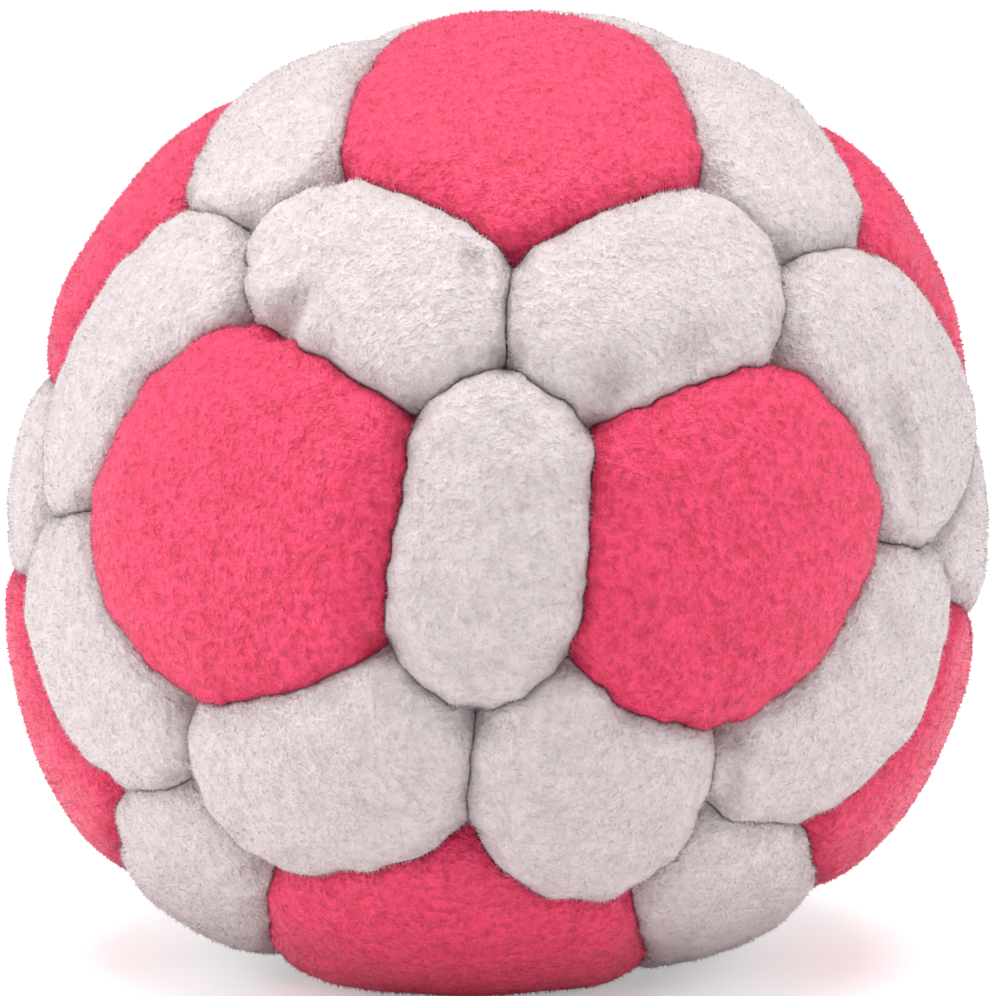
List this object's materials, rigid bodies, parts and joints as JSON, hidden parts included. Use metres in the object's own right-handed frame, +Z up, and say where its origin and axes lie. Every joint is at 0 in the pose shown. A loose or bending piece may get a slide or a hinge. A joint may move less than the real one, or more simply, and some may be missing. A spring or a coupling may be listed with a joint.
{
  "type": "footbag",
  "caption": "Plush footbag: a sewn ball of pink pentagons and pale grey hexagons, filled with loose pellets and settled on a flat base.",
  "frame": {"origin": "on the floor, in the middle of the flat that the ball rests on, under the ball's centre", "axes": "+Z up from the floor; -Y towards the side that the picture shows; +X to that view's right"},
  "size_m": [0.054, 0.0542, 0.0525],
  "materials": {
    "pink_plush": "short-napped plush",
    "grey_plush": "short-napped plush",
    "sewing_thread": "waxed polyester thread",
    "pellets": "moulded, dull"
  },
  "bodies": {
    "root": {"pentagon_panel_01": "pink_plush", "pentagon_panel_02": "pink_plush", "pentagon_panel_03": "pink_plush", "pentagon_panel_04": "pink_plush", "pentagon_panel_05": "pink_plush", "pentagon_panel_06": "pink_plush", "pentagon_panel_07": "pink_plush", "pentagon_panel_08": "pink_plush", "pentagon_panel_09": "pink_plush", "pentagon_panel_10": "pink_plush", "pentagon_panel_11": "pink_plush", "pentagon_panel_12": "pink_plush", "hexagon_panel_01": "grey_plush", "hexagon_panel_02": "grey_plush", "hexagon_panel_03": "grey_plush", "hexagon_panel_04": "grey_plush", "hexagon_panel_05": "grey_plush", "hexagon_panel_06": "grey_plush", "hexagon_panel_07": "grey_plush", "hexagon_panel_08": "grey_plush", "hexagon_panel_09": "grey_plush", "hexagon_panel_10": "grey_plush", "hexagon_panel_11": "grey_plush", "hexagon_panel_12": "grey_plush", "hexagon_panel_13": "grey_plush", "hexagon_panel_14": "grey_plush", "hexagon_panel_15": "grey_plush", "hexagon_panel_16": "grey_plush", "hexagon_panel_17": "grey_plush", "hexagon_panel_18": "grey_plush", "hexagon_panel_19": "grey_plush", "hexagon_panel_20": "grey_plush", "hexagon_panel_21": "grey_plush", "hexagon_panel_22": "grey_plush", "hexagon_panel_23": "grey_plush", "hexagon_panel_24": "grey_plush", "hexagon_panel_25": "grey_plush", "hexagon_panel_26": "grey_plush", "hexagon_panel_27": "grey_plush", "hexagon_panel_28": "grey_plush", "hexagon_panel_29": "grey_plush", "hexagon_panel_30": "grey_plush", "seam_thread": "sewing_thread", "pellet_filling": "pellets"}
  },
  "joints": []
}
